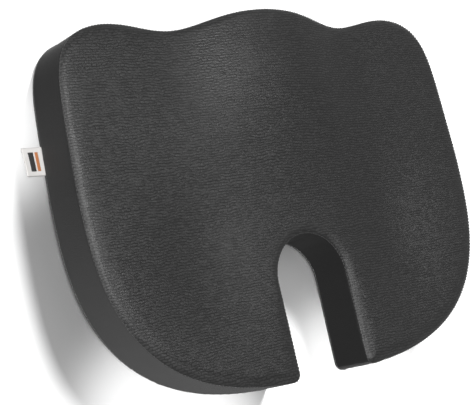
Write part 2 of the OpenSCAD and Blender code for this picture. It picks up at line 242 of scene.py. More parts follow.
class Stack:
    """Closed mesh of rings round the rim, with a grid over its first and last ring."""

    def __init__(self, rings, rear, side, first_z, last_z):
        self.n, self.rear, self.side, self.rows = len(rings[0]), rear, side, len(rings)
        first = self.grid(rings[0], first_z)
        last = self.grid(rings[-1], last_z)
        self.points = np.vstack(rings + [first, last])
        self.wall_total = self.n * self.rows
        self.inside = len(first)

    def grid(self, ring, height):
        """Points inside a ring, blended from its four sides."""
        n, k, m = self.n, self.rear, self.side
        u = (np.arange(m + 1) / m)[:, None, None]
        v = (np.arange(k + 1) / k)[None, :, None]
        inner = ring[(n - np.arange(m + 1)) % n][:, None]
        outer = ring[k + np.arange(m + 1)][:, None]
        right = ring[np.arange(k + 1)][None]
        left = ring[2 * k + m - np.arange(k + 1)][None]
        start = (1 - v) * ring[0] + v * ring[k]
        end = (1 - v) * ring[2 * k + m] + v * ring[k + m]
        p = (1 - v) * inner + v * outer + (1 - u) * right + u * left - (1 - u) * start - u * end
        p = p[1:-1, 1:-1].reshape(-1, 3)
        p[:, 2] = height(p[:, 0], p[:, 1])
        return p

    def wall(self, first, last, start=0, end=None):
        """Quads from ring first to ring last, for the samples from start to end."""
        i = np.arange(start, self.n if end is None else end) % self.n
        j = (i + 1) % self.n
        quads = np.column_stack([i, j, j + self.n, i + self.n])
        return np.vstack([quads + r * self.n for r in range(first, last)])

    def cap(self, last):
        """Quads of the grid over the first or the last ring, facing out of the solid."""
        n, k, m = self.n, self.rear, self.side
        ring = (self.rows - 1) * n if last else 0
        inside = self.wall_total + (self.inside if last else 0)
        index = np.empty((m + 1, k + 1), int)
        index[1:-1, 1:-1] = inside + np.arange((m - 1) * (k - 1)).reshape(m - 1, k - 1)
        index[0, :] = ring + np.arange(k + 1)
        index[m, :] = ring + 2 * k + m - np.arange(k + 1)
        index[:, 0] = ring + (n - np.arange(m + 1)) % n
        index[:, k] = ring + k + np.arange(m + 1)
        corners = [index[:-1, :-1], index[:-1, 1:], index[1:, 1:], index[1:, :-1]]
        quads = np.stack(corners, -1).reshape(-1, 4)
        return quads if last else quads[:, ::-1]

    def faces(self):
        return np.vstack([self.wall(0, self.rows - 1), self.cap(False), self.cap(True)])

    def row(self, r):
        return slice(r * self.n, (r + 1) * self.n)


# ---------------------------------------------------------------- mesh helpers

def mesh_object(name, points, faces):
    """Smooth-shaded object from points and faces; points that no face uses are left out."""
    faces = [list(map(int, f)) for f in faces]
    used = sorted({i for f in faces for i in f})
    number = {old: new for new, old in enumerate(used)}
    mesh = bpy.data.meshes.new(name)
    mesh.from_pydata(np.asarray(points)[used].tolist(), [], [[number[i] for i in f] for f in faces])
    mesh.polygons.foreach_set("use_smooth", [True] * len(mesh.polygons))
    mesh.update()
    obj = bpy.data.objects.new(name, mesh)
    SCENE.collection.objects.link(obj)
    return obj, np.array(used)


def add_attribute(obj, name, values):
    layer = obj.data.attributes.new(name, "FLOAT", "POINT")
    layer.data.foreach_set("value", np.asarray(values, np.float32))


def solidify(obj, thickness, offset=-1):
    """Gives a sheet its thickness: on the side away from its normals (-1), or half each way (0)."""
    m = obj.modifiers.new("Thickness", "SOLIDIFY")
    m.thickness = thickness
    m.offset = offset


def subdivide(obj, levels=1):
    m = obj.modifiers.new("Smooth", "SUBSURF")
    m.levels = m.render_levels = levels


def ring_faces(count, sides):
    """Faces over a number of equal rings of points, with one face at each end."""
    faces = []
    for i in range(count - 1):
        for k in range(sides):
            a, b = i * sides + k, i * sides + (k + 1) % sides
            faces.append([a, b, b + sides, a + sides])
    faces.append(list(reversed(range(sides))))
    faces.append([(count - 1) * sides + k for k in range(sides)])
    return faces


def tube(path, radius, sides):
    """Points and faces of a tube along a path."""
    path = np.asarray(path, float)
    along = np.vstack([path[1:], path[-1:]]) - np.vstack([path[:1], path[:-1]])
    along /= np.linalg.norm(along, axis=1, keepdims=True)
    side = np.cross(along, (0, 0, 1.0))
    steep = np.linalg.norm(side, axis=1) < 0.2
    side[steep] = np.cross(along[steep], (0, 1.0, 0))
    side /= np.linalg.norm(side, axis=1, keepdims=True)
    up = np.cross(side, along)
    a = np.arange(sides) * 2 * math.pi / sides
    radius = np.broadcast_to(np.asarray(radius, float), (len(path),))[:, None, None]
    ring = side[:, None] * np.cos(a)[None, :, None] + up[:, None] * np.sin(a)[None, :, None]
    return (path[:, None] + radius * ring).reshape(-1, 3), ring_faces(len(path), sides)


def joined(parts):
    """One list of points and faces from several."""
    points, faces, at = [], [], 0
    for p, f in parts:
        points.append(p)
        faces.extend([[i + at for i in face] for face in f])
        at += len(p)
    return np.vstack(points), faces


def strip(rows):
    """Points and quads of a sheet from equal rows of points."""
    n = len(rows[0])
    faces = []
    for i in range(len(rows) - 1):
        for j in range(n - 1):
            a = i * n + j
            b = a + n
            faces.append([a, a + 1, b + 1, b])
    return np.vstack(rows), faces


def stitch(a, b, out, radius):
    """One stitch from a to b, which stands out in its middle and dives at its ends."""
    t = np.array([0, 0.08, 0.25, 0.5, 0.75, 0.92, 1])[:, None]
    lift = np.array([-1.1, -0.25, 0.3, 0.45, 0.3, -0.25, -1.1])[:, None] * radius
    width = np.array([0.35, 0.8, 1, 1, 1, 0.8, 0.35]) * radius
    return tube(a + (b - a) * t + out * lift, width, 6)


STITCH_PITCH = 3.2 * MM
STITCH_LENGTH = 2.5 * MM
STITCH_R = 0.27 * MM


def stitches(path, outs):
    """Stitches along a path of points, which stand out in the directions outs."""
    s = np.concatenate([[0], np.cumsum(np.linalg.norm(np.diff(path, axis=0), axis=1))])

    def along(values, at):
        return np.column_stack([np.interp(at, s, values[:, k]) for k in range(3)])

    count = int(s[-1] / STITCH_PITCH)
    middle = (np.arange(count) + 0.5) * s[-1] / count
    starts = along(path, middle - STITCH_LENGTH / 2)
    ends = along(path, middle + STITCH_LENGTH / 2)
    return [stitch(a, b, n, STITCH_R) for a, b, n in zip(starts, ends, along(outs, middle))]


# ---------------------------------------------------------------- materials

class Graph:
    """A short way to write a procedural material."""

    def __init__(self, name, **constants):
        self.material = bpy.data.materials.new(name)
        self.material.use_nodes = True
        self.tree = self.material.node_tree
        self.shader = self.tree.nodes["Principled BSDF"]
        for socket, value in constants.items():
            self.shader.inputs[socket.replace("_", " ")].default_value = value
        self.object = self.node("TexCoord").outputs["Object"]

    def node(self, kind, values=(), **settings):
        made = self.tree.nodes.new("ShaderNode" + kind)
        for key, value in settings.items():
            setattr(made, key, value)
        for socket, value in dict(values).items():
            self.put(made.inputs[socket], value)
        return made

    def put(self, socket, value):
        if isinstance(value, bpy.types.NodeSocket):
            self.tree.links.new(value, socket)
        else:
            socket.default_value = value

    def math(self, operation, *values):
        return self.node("Math", dict(enumerate(values)), operation=operation).outputs[0]

    def vector(self, operation, *values):
        return self.node("VectorMath", dict(enumerate(values)), operation=operation).outputs[0]

    def noise(self, scale, detail=2.0, roughness=0.5, vector=None):
        values = {"Vector": vector or self.object, "Scale": scale,
                  "Detail": detail, "Roughness": roughness}
        return self.node("TexNoise", values).outputs["Fac"]

    def wave(self, scale, direction, distortion=0.2, vector=None):
        values = {"Vector": vector or self.object, "Scale": scale, "Distortion": distortion}
        return self.node("TexWave", values, wave_type="BANDS", bands_direction=direction).outputs["Fac"]

    def spread(self, value, low, high):
        """A 0 to 1 value stretched to low to high."""
        return self.node("MapRange", {"Value": value, "To Min": low, "To Max": high}).outputs["Result"]

    def attribute(self, name):
        return self.node("Attribute", attribute_name=name).outputs["Fac"]

    def mix(self, factor, a, b):
        made = self.node("Mix", data_type="RGBA")
        for socket, value in ((0, factor), (6, a), (7, b)):
            self.put(made.inputs[socket], value)
        return made.outputs[2]

    def tint(self, color, *factors):
        """Colour times some factors."""
        factor = factors[0]
        for other in factors[1:]:
            factor = self.math("MULTIPLY", factor, other)
        base = color if isinstance(color, bpy.types.NodeSocket) else color[:3]
        return self.node("VectorMath", {0: base, "Scale": factor}, operation="SCALE").outputs[0]

    def bump(self, height, distance, strength=1.0, under=None):
        made = self.node("Bump", {"Height": height, "Distance": distance, "Strength": strength})
        if under is not None:
            self.put(made.inputs["Normal"], under)
        return made.outputs["Normal"]

    def finish(self, color, roughness, normal):
        for socket, value in (("Base Color", color), ("Roughness", roughness), ("Normal", normal)):
            self.put(self.shader.inputs[socket], value)
        return self.material


def grey(value, warm=0.0):
    return (value * (1 + warm), value, value * (1 - warm), 1.0)


# Knit: length of a raised dash, distance from row to row, and the gap round a dash
RIB_LENGTH, RIB_PITCH, RIB_GAP = 4.8 * MM, 2.4 * MM, 0.8 * MM


def ribbed_knit():
    """Charcoal knit: wavy rows of short raised dashes that run from side to side."""
    g = Graph("ribbed_knit", Sheen_Weight=0.05, Sheen_Roughness=0.4, Specular_IOR_Level=0.3)
    sway = g.math("ADD", g.spread(g.noise(60.0), -3 * MM, 3 * MM), g.spread(g.noise(220.0), -MM, MM))
    slip = g.math("ADD", g.spread(g.noise(40.0), -3 * MM, 3 * MM),
                  g.spread(g.noise(260.0), -2 * MM, 2 * MM))
    drift = g.node("CombineXYZ", {"X": slip, "Y": sway}).outputs[0]
    rows = g.node(
        "TexBrick",
        {"Vector": g.vector("ADD", g.object, drift), "Color1": grey(0.018), "Color2": grey(0.0275),
         "Mortar": grey(0.008), "Scale": 1.0, "Mortar Size": RIB_GAP, "Mortar Smooth": 1.0, "Bias": 0.0,
         "Brick Width": RIB_LENGTH, "Row Height": RIB_PITCH},
        offset=0.5, offset_frequency=2,
    )
    raised = g.math("SUBTRACT", 1.0, rows.outputs["Fac"])
    fine = g.noise(1500.0, 2.0, 0.6)
    loops = g.math("MULTIPLY", g.wave(420.0, "X", 0.6), g.wave(260.0, "Y", 0.6))
    patchy = g.spread(g.noise(75.0, 3.0, 0.6), 0.25, 0.75)
    mottle = g.spread(g.noise(28.0, 3.0, 0.6), 0.9, 1.1)
    # Lighter where rubbed: wear plus a painted highlight along the top edge and on the raised front
    rub_and_highlight = g.spread(g.attribute("rub_and_highlight"), 1.0, 1.2)
    shade = g.spread(fine, 0.8, 1.2)
    relief = g.spread(loops, 0.85, 1.2)
    color = g.tint(rows.outputs["Color"], mottle, rub_and_highlight, shade, relief)
    ribs = g.bump(g.math("MULTIPLY", raised, patchy), 0.0004, 0.43)
    normal = g.bump(fine, 0.0002, 0.2, g.bump(loops, 0.0002, 0.4, ribs))
    shine = g.math("ADD", g.spread(fine, 0.25, 0.32), g.spread(g.attribute("rub_and_highlight"), 0.0, 0.22))
    return g.finish(color, shine, normal)


def smooth_jersey():
    """Fine dark jersey of the side walls."""
    g = Graph("band_jersey", Sheen_Weight=0.05, Sheen_Roughness=0.4, Specular_IOR_Level=0.2)
    stretched = g.vector("MULTIPLY", g.object, (1500.0, 1500.0, 1000.0))
    loops = g.node("TexVoronoi", {"Vector": stretched, "Scale": 1.0}).outputs["Distance"]
    fine = g.noise(1400.0, 2.0, 0.6)
    mottle = g.spread(g.noise(22.0, 3.0, 0.55), 0.88, 1.12)
    # Lighter where rubbed: wear plus a painted highlight along the top edge
    rub_and_highlight = g.spread(g.attribute("rub_and_highlight"), 1.0, 1.3)
    color = g.tint(grey(0.0115), mottle, rub_and_highlight, g.spread(loops, 1.12, 0.82))
    normal = g.bump(fine, 0.0002, 0.4, g.bump(loops, -0.0003, 0.6))
    return g.finish(color, g.spread(fine, 0.55, 0.75), normal)


def woven_base():
    """Plain tight weave of the underside."""
    g = Graph("woven_base", Sheen_Weight=0.15, Specular_IOR_Level=0.3)
    weave = g.math("MULTIPLY", g.wave(260.0, "X", 0.3), g.wave(260.0, "Y", 0.3))
    mottle = g.spread(g.noise(30.0, 3.0), 0.85, 1.15)
    color = g.tint(grey(0.034), mottle, g.spread(weave, 0.75, 1.2))
    return g.finish(color, g.spread(g.noise(900.0), 0.75, 0.95), g.bump(weave, 0.0003, 0.7))


def silicone():
    g = Graph("dot_silicone", Coat_Weight=0.1, Coat_Roughness=0.4)
    grime = g.noise(260.0, 4.0, 0.65)
    return g.finish(g.tint(grey(0.055), g.spread(grime, 0.8, 1.25)), g.spread(grime, 0.35, 0.6),
                    g.bump(g.noise(2200.0), 0.00005, 0.5))


def twisted_thread():
    g = Graph("twisted_thread", Sheen_Weight=0.2, Specular_IOR_Level=0.35)
    twist = g.wave(1000.0, "DIAGONAL", 0.6)
    color = g.tint(grey(0.05), g.spread(twist, 0.65, 1.25))
    return g.finish(color, g.spread(g.noise(1500.0), 0.55, 0.8), g.bump(twist, 0.0001, 0.8))


def woven_tape():
    g = Graph("woven_tape", Sheen_Weight=0.1, Specular_IOR_Level=0.3)
    twill = g.wave(600.0, "DIAGONAL", 0.2, g.vector("MULTIPLY", g.object, (1.0, 1.6, 1.0)))
    mottle = g.spread(g.noise(60.0, 3.0), 0.85, 1.15)
    color = g.tint(grey(0.022), g.spread(twill, 0.75, 1.3), mottle)
    return g.finish(color, g.spread(g.noise(900.0), 0.7, 0.9), g.bump(twill, 0.0002, 0.7))


def nylon():
    g = Graph("coil_nylon")
    scuff = g.noise(500.0, 4.0, 0.6)
    return g.finish(g.tint(grey(0.018), g.spread(scuff, 0.8, 1.4)), g.spread(scuff, 0.28, 0.5),
                    g.bump(scuff, 0.00004, 0.5))


def gunmetal():
    g = Graph("gunmetal", Metallic=1.0)
    brushed = g.noise(1.0, 3.0, 0.6, g.vector("MULTIPLY", g.object, (200.0, 2600.0, 2600.0)))
    worn = g.noise(320.0, 5.0, 0.65)
    color = g.mix(g.spread(worn, -0.4, 1.3), grey(0.2), grey(0.43, 0.03))
    return g.finish(color, g.spread(worn, 0.25, 0.48), g.bump(brushed, 0.00003, 0.6))


def label_satin():
    g = Graph("label_satin", Sheen_Weight=0.3, Specular_IOR_Level=0.45)
    weave = g.wave(600.0, "Y")
    soil = g.noise(120.0, 3.0, 0.6)
    color = g.mix(g.spread(soil, -0.2, 0.7), grey(0.54, 0.02), grey(0.44, 0.04))
    return g.finish(g.tint(color, g.spread(weave, 0.92, 1.05)), g.spread(soil, 0.45, 0.65),
                    g.bump(weave, 0.0001, 0.5))


def stripe_weave(name, color):
    g = Graph(name, Sheen_Weight=0.1, Specular_IOR_Level=0.4)
    weave = g.wave(600.0, "Y", 0.3)
    return g.finish(g.tint(color, g.spread(weave, 0.75, 1.2)), g.spread(g.noise(700.0), 0.5, 0.7),
                    g.bump(weave, 0.0001, 0.6))


def memory_foam():
    """Cream open-cell foam with fine pores."""
    g = Graph("memory_foam", Specular_IOR_Level=0.2)
    pores = g.node("TexVoronoi", {"Vector": g.object, "Scale": 900.0}).outputs["Distance"]
    cloud = g.noise(14.0, 3.0)
    color = g.mix(g.spread(cloud, 0.0, 0.8), (0.86, 0.8, 0.64, 1.0), (0.78, 0.7, 0.52, 1.0))
    return g.finish(g.tint(color, g.spread(pores, 0.8, 1.1)), g.spread(cloud, 0.85, 0.97),
                    g.bump(pores, 0.0005, 0.6))


MATERIALS = {
    "ribbed_knit": ribbed_knit(),
    "band_cloth": smooth_jersey(),
    "base_cloth": woven_base(),
    "grip_silicone": silicone(),
    "thread": twisted_thread(),
    "zip_tape": woven_tape(),
    "zip_coil": nylon(),
    "zip_metal": gunmetal(),
    "label_tape": label_satin(),
    "foam": memory_foam(),
}


def add_piece(name, points, faces, slot, *nodes, material=None):
    """Piece with its material, which rides on the cushion and stands for CAD nodes; slot only picks the
    material when none is given.
    """
    obj, used = mesh_object(name, points, faces)
    obj.data.materials.append(material or MATERIALS[slot])
    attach(obj, BODY)
    if nodes:
        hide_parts(*nodes)
    return obj, used


# ---------------------------------------------------------------- the sewn cover

REAR, SIDE = 30, 190
SAMPLES = rim_samples(REAR, SIDE)
RIGHT_SPLIT, LEFT_SPLIT = at_zip(SAMPLES, 1), at_zip(SAMPLES, -1)
OUTER_COUNT = 2 * REAR + SIDE
BOTTOM_R = 1.5 * MM
BOTTOM_SEAM_Z = 3.2 * MM
# Heights of the wall's rings, as shares of it, and angles of the rings on the rounded edge
WALL_STEPS = (0, 0.02, 0.06, 0.13, 0.22, 0.32, 0.43, 0.54, 0.65, 0.76, 0.86, 0.94, 1)
TURN_BELOW_SEAM = (8, 14)
TURN_ABOVE_SEAM = (26, 33, 43, 54, 66, 78, 90)


def cover_rings(s):
    """Rings of the closed cover, and the numbers of the bottom seam's and top seam's ring."""
    rings = []
    for degrees in (-90, -45, 0):
        a = math.radians(degrees)
        rings.append(flat_ring(s, BOTTOM_R * (1 - math.cos(a)), PANEL_Z + BOTTOM_R * (1 + math.sin(a))))
    bottom_seam = len(rings)
    wall_top = round_ring(s, EDGE_R, 0)[:, 2]
    for t in WALL_STEPS:
        rings.append(flat_ring(s, 0, BOTTOM_SEAM_Z + t * (wall_top - BOTTOM_SEAM_Z)))
    top_seam = len(rings) + len(TURN_BELOW_SEAM)
    for degrees in TURN_BELOW_SEAM + (SEAM_ANGLE,) + TURN_ABOVE_SEAM:
        rings.append(round_ring(s, EDGE_R, degrees))
    return rings, bottom_seam, top_seam


RINGS, BOTTOM_SEAM, TOP_SEAM = cover_rings(SAMPLES)
COVER = Stack(RINGS, REAR, SIDE, lambda x, y: np.full_like(x, PANEL_Z), seat_z)


def outward_normals(points, faces):
    """Unit normal at each point of a closed mesh of quads."""
    one_way = points[faces[:, 2]] - points[faces[:, 0]]
    other_way = points[faces[:, 3]] - points[faces[:, 1]]
    across = np.cross(one_way, other_way)
    total = np.zeros_like(points)
    for k in range(4):
        np.add.at(total, faces[:, k], across)
    return total / np.maximum(np.linalg.norm(total, axis=1, keepdims=True), 1e-12)


def smoothed(move, faces, loose, rounds=10):
    """Moves averaged with those of the points round them, where the cloth is loose."""
    a = np.concatenate([faces[:, k] for k in range(4)])
    b = np.concatenate([faces[:, (k + 1) % 4] for k in range(4)])
    count = np.maximum(np.bincount(a, minlength=len(move)), 1)[:, None]
    for _ in range(rounds):
        around = np.column_stack([np.bincount(a, move[b, k], len(move)) for k in range(3)]) / count
        move = np.where(loose[:, None] > 0, (move + around) / 2, move)
    return move


SIM_FRAMES = 20
SIM_PRESSURE = 4.0
SIM_SHRINK = 0.5 * MM
SIM_CAP = 0.9 * MM


def pressed_out(points, faces, normals, pinned):
    """The cover's points after a cloth simulation under pressure, held at its seams and base."""
    loose = np.ones(len(points))
    loose[pinned] = 0
    start = points - normals * (SIM_SHRINK * loose)[:, None]
    obj, _ = mesh_object("simulated_cover", start, faces)
    pins = obj.vertex_groups.new(name="pins")
    pins.add(np.flatnonzero(loose == 0).tolist(), 1.0, "REPLACE")
    cloth = obj.modifiers.new("Cloth", "CLOTH")
    cloth.settings.quality = 4
    cloth.settings.use_pressure = True
    cloth.settings.uniform_pressure_force = SIM_PRESSURE
    cloth.settings.vertex_group_mass = "pins"
    cloth.settings.effector_weights.gravity = 0
    cloth.point_cache.frame_start = 1
    cloth.point_cache.frame_end = SIM_FRAMES
    for number in range(1, SIM_FRAMES + 1):
        SCENE.frame_set(number)
    evaluated = obj.evaluated_get(bpy.context.evaluated_depsgraph_get())
    moved = np.empty(len(points) * 3)
    evaluated.data.vertices.foreach_get("co", moved)
    bpy.data.objects.remove(obj)
    SCENE.frame_set(1)
    move = smoothed(moved.reshape(-1, 3) - start, faces, loose)
    length = np.maximum(np.linalg.norm(move, axis=1, keepdims=True), 1e-9)
    move *= SIM_CAP * np.tanh(length / SIM_CAP) / length
    return start + move


def wavy(s, wavelength, seed):
    """Smooth noise from -1 to 1 along the rim, closed on itself."""
    turns = RIM.length / wavelength
    rng = np.random.default_rng(seed)
    value = 0
    for share, weight in ((0.6, 0.5), (1.0, 1.0), (1.7, 0.5)):
        phase = rng.uniform(0, 2 * math.pi)
        value = value + weight * np.sin(2 * math.pi * round(turns * share) * s / RIM.length + phase)
    return value / 2


SEAM_GROOVE = 0.5 * MM
# Share of the groove at the upright seams between the bands
UPRIGHT_SHARE = 0.7
PUCKER = 0.22 * MM
PUCKER_REACH, PUCKER_WAVE = 7 * MM, 9 * MM
PUCKER_SEED = 11


def sewn(points, normals):
    """Pulls the seams in and puckers the cloth beside them."""
    points = points.copy()
    base = COVER.points
    for seam, reach_rows in ((TOP_SEAM, (-2, -1, 1, 2, 3, 4)), (BOTTOM_SEAM, (-1, 1, 2, 3, 4, 5))):
        row = COVER.row(seam)
        points[row] -= normals[row] * SEAM_GROOVE
        for r in reach_rows:
            near = COVER.row(seam + r)
            away = np.linalg.norm(base[near] - base[row], axis=1)
            wave = wavy(SAMPLES, PUCKER_WAVE, PUCKER_SEED + seam + (r > 0))
            size = PUCKER * np.exp(-away / PUCKER_REACH) * wave
            points[near] += normals[near] * size[:, None]
    # Upright seams between the two bands, at the mouth's corners
    for column in (0, OUTER_COUNT):
        for r in range(BOTTOM_SEAM + 1, TOP_SEAM):
            i = r * COVER.n + column
            points[i] -= normals[i] * SEAM_GROOVE * UPRIGHT_SHARE
    return points


COVER_FACES = COVER.faces()
COVER_NORMALS = outward_normals(COVER.points, COVER_FACES)
PINNED = np.concatenate(
    [np.arange((BOTTOM_SEAM + 1) * COVER.n), np.arange(TOP_SEAM * COVER.n, (TOP_SEAM + 1) * COVER.n),
     np.arange(COVER.wall_total, COVER.wall_total + COVER.inside)]
)
PRESSED = pressed_out(COVER.points, COVER_FACES, COVER_NORMALS, PINNED)
SEWN = sewn(PRESSED, COVER_NORMALS)


# Rubbing and painted highlight along the top edge: its middle's depth below the seating face,
# its reach from there, and what is left of it at the seating face's border
RUB_HIGHLIGHT_DEPTH, RUB_HIGHLIGHT_REACH, RUB_HIGHLIGHT_BORDER = EDGE_R * 0.35, 2.6 * MM, 0.6
# Rubbing and painted highlight on the raised front: width, start and run towards the front, and strength
CREST_WIDTH, CREST_START, CREST_RUN, CREST_RUB_HIGHLIGHT = 40 * MM, 80 * MM, 80 * MM, 0.35


def edge_rub_and_highlight(base):
    """0 to 1: how much the cloth is rubbed and lightened by painted highlight, most along the rounded top
    edge.
    """
    off_middle = np.abs(base[:, 2] - (seat_z(base[:, 0], base[:, 1]) - RUB_HIGHLIGHT_DEPTH))
    edge = np.zeros(len(base))
    wall = COVER.wall_total
    edge[:wall] = np.exp(-((off_middle[:wall] / RUB_HIGHLIGHT_REACH) ** 2))
    edge[COVER.row(COVER.rows - 1)] *= RUB_HIGHLIGHT_BORDER
    crest = hump(base[:, 0], 0, CREST_WIDTH) * ease((base[:, 1] - CREST_START) / CREST_RUN) * CREST_RUB_HIGHLIGHT
    return np.clip(edge + crest, 0, 1)


# Wear plus painted highlight: lightens the cloth's colour along the top edge and on the raised front
RUB_AND_HIGHLIGHT = edge_rub_and_highlight(COVER.points)


def add_panel(name, faces, slot, *nodes):
    """Panel of the sewn cover."""
    obj, used = add_piece(name, SEWN, faces, slot, *nodes)
    add_attribute(obj, "rub_and_highlight", RUB_AND_HIGHLIGHT[used])
    solidify(obj, CLOTH)
    subdivide(obj)
    return obj


knit_top = add_panel("knit_top", np.vstack([COVER.wall(TOP_SEAM, COVER.rows - 1), COVER.cap(True)]),
                     "ribbed_knit", "top_panel")
add_panel("jersey_band", COVER.wall(BOTTOM_SEAM, TOP_SEAM, 0, OUTER_COUNT), "band_cloth", "side_band")
add_panel("jersey_cutout", COVER.wall(BOTTOM_SEAM, TOP_SEAM, OUTER_COUNT), "band_cloth", "cutout_band")


# ---------------------------------------------------------------- seams

def seam_stitches(name, row, node):
    ring = SEWN[COVER.row(row)]
    outs = COVER_NORMALS[COVER.row(row)]
    closed = np.vstack([ring, ring[:1]])
    add_piece(name, *joined(stitches(closed, np.vstack([outs, outs[:1]]))), "thread", node)


def corner_stitches():
    """Upright stitches where the two bands join."""
    rows = []
    for column in (0, OUTER_COUNT):
        i = np.arange(BOTTOM_SEAM + 1, TOP_SEAM - 1) * COVER.n + column
        rows += stitches(SEWN[i], COVER_NORMALS[i])
    add_piece("stitches_mouth", *joined(rows), "thread", "band_join_threads")


seam_stitches("stitches_top", TOP_SEAM, "top_seam_thread")
seam_stitches("stitches_bottom", BOTTOM_SEAM, "bottom_seam_thread")
corner_stitches()


# ---------------------------------------------------------------- underside

SPLIT_GAP = 0.1 * MM
# The hem's section: distance out from the opening's edge, and height
HEM = [
    (1.6, 1.2), (0.6, 1.2), (0.15, 1.35), (0, 1.9), (0, 5.0), (0.25, 5.55),
    (0.8, 5.8), (3.2, 5.8), (3.8, 5.5), (4, 5), (4, 2.9),
]
HEM_STEPS = 90
# Points across the middle of a base panel: their pitch, and how far they keep from its border
LATTICE_PITCH, LATTICE_MARGIN = 9 * MM, 4 * MM


def opening_edge(side, out, z):
    """Path round one half of the zip's opening, right to left, at a distance out from its edge."""
    x = CHANNEL_HALF_L + out
    near, far = ZIP_Y + side * SPLIT_GAP, ZIP_Y + side * (CHANNEL_HALF_W + out)
    end = np.linspace(near, far, 4)
    long_x = np.linspace(x, -x, HEM_STEPS + 1)[1:-1]
    xs = np.concatenate([np.full(4, x), long_x, np.full(4, -x)])
    ys = np.concatenate([end, np.full(len(long_x), far), end[::-1]])
    return np.column_stack([xs, ys, np.full(len(xs), z)])


def inside_polygon(points, polygon):
    x, y = points[:, 0], points[:, 1]
    inside = np.zeros(len(points), bool)
    for a, b in zip(polygon, np.roll(polygon, -1, 0)):
        crosses = (a[1] > y) != (b[1] > y)
        with np.errstate(divide="ignore", invalid="ignore"):
            inside ^= crosses & (x < a[0] + (b[0] - a[0]) * (y - a[1]) / (b[1] - a[1]))
    return inside


def lattice_inside(polygon, pitch, margin):
    """Staggered lattice points inside a polygon, clear of its border."""
    low, high = polygon.min(0), polygon.max(0)
    rows = np.arange(low[1], high[1], pitch * math.sqrt(3) / 2)
    lattice = []
    for j, y in enumerate(rows):
        x = np.arange(low[0] + (j % 2) * pitch / 2, high[0], pitch)
        lattice.append(np.column_stack([x, np.full_like(x, y)]))
    points = np.vstack(lattice)
    points = points[inside_polygon(points, polygon)]
    away = np.min(np.linalg.norm(points[:, None] - polygon[None], axis=2), axis=1)
    return points[away > margin]


def base_panel(name, side, node):
    """Half of the underside: flat cloth, its rounded outer border, and the hem along the zip."""
    n = COVER.n
    if side > 0:
        samples = np.arange(RIGHT_SPLIT, LEFT_SPLIT + 1)
    else:
        samples = np.arange(LEFT_SPLIT, n + RIGHT_SPLIT + 1) % n
    border = SEWN[samples].copy()
    border[[0, -1], 1] += side * SPLIT_GAP
    hem_rows = [opening_edge(side, out * MM, z * MM) for out, z in HEM]
    edge = hem_rows[0] if side > 0 else hem_rows[0][::-1]
    outline = np.vstack([border, edge[::-1]])
    flat = outline[:, :2]
    inner = lattice_inside(flat, LATTICE_PITCH, LATTICE_MARGIN)
    coords = [Vector(p) for p in np.vstack([flat, inner])]
    edges = [(i, (i + 1) % len(flat)) for i in range(len(flat))]
    _, _, triangles, origins, _, _ = delaunay_2d_cdt(coords, edges, [], 1, 1e-7)

    # All points: the cover's, then the hem's rows, then the lattice
    hem_points, hem_faces = strip(hem_rows)
    points = np.vstack([SEWN, hem_points, np.column_stack([inner, np.full(len(inner), PANEL_Z)])])
    hem_start, inner_start = len(SEWN), len(SEWN) + len(hem_points)
    count = len(edge)
    edge_numbers = hem_start + (np.arange(count) if side > 0 else np.arange(count)[::-1])
    numbers = np.concatenate([samples, edge_numbers[::-1], inner_start + np.arange(len(inner))])
    where = [int(numbers[o[0]]) for o in origins]
    faces = [[where[i] for i in reversed(t)] for t in triangles]
    hem_faces = [[hem_start + i for i in (f[::-1] if side > 0 else f)] for f in hem_faces]
    start, end = (RIGHT_SPLIT, LEFT_SPLIT) if side > 0 else (LEFT_SPLIT, n + RIGHT_SPLIT)
    faces += hem_faces + COVER.wall(0, BOTTOM_SEAM, start, end).tolist()
    obj, _ = add_piece(name, points, faces, "base_cloth", node)
    solidify(obj, CLOTH)


base_panel("base_front", 1, "bottom_panel_front")
base_panel("base_rear", -1, "bottom_panel_rear")


def dome(x, y):
    """Domed silicone dot, flat where it rests."""
    # Radius and height, from the cloth down to the flat face
    profile = [(3.5, 1.3), (3.5, 1.0), (3.42, 0.6), (3.15, 0.25), (2.7, 0.06), (2.2, 0), (0.9, 0)]
    sides = 24
    a = np.arange(sides) * 2 * math.pi / sides
    rings = []
    for r, z in np.array(profile) * MM:
        rings.append(np.column_stack([x + r * np.cos(a), y + r * np.sin(a), np.full(sides, z)]))
    faces = []
    for i in range(len(profile) - 1):
        for k in range(sides):
            q = (k + 1) % sides
            faces.append([i * sides + k, (i + 1) * sides + k, (i + 1) * sides + q, i * sides + q])
    faces.append([(len(profile) - 1) * sides + k for k in reversed(range(sides))])
    faces.append(list(range(sides)))
    return np.vstack(rings), faces


DOT_PITCH = 30 * MM
# A dot's rim is nearer to its middle than this
DOT_RIM = 4 * MM


def dot_centres():
    """Middles of the CAD's dots: the lattice points that have a rim of vertices round them."""
    co = np.array([v.co[:2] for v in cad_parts["grip_dots"].data.vertices])
    row_pitch = DOT_PITCH * math.sqrt(3) / 2
    rows, columns = 8, 9
    found = []
    for j in range(-rows, rows + 1):
        for i in range(-columns, columns + 1):
            p = np.array([(i + (abs(j) % 2) / 2) * DOT_PITCH, j * row_pitch])
            if np.min(np.linalg.norm(co - p, axis=1)) < DOT_RIM:
                found.append(p)
    return found


add_piece("silicone_dots", *joined([dome(*p) for p in dot_centres()]), "grip_silicone", "grip_dots")


# ---------------------------------------------------------------- zip

TAPE_POINTS = 97
TAPE_RIPPLE, RIPPLE_LENGTH = 0.05 * MM, 5.3 * MM


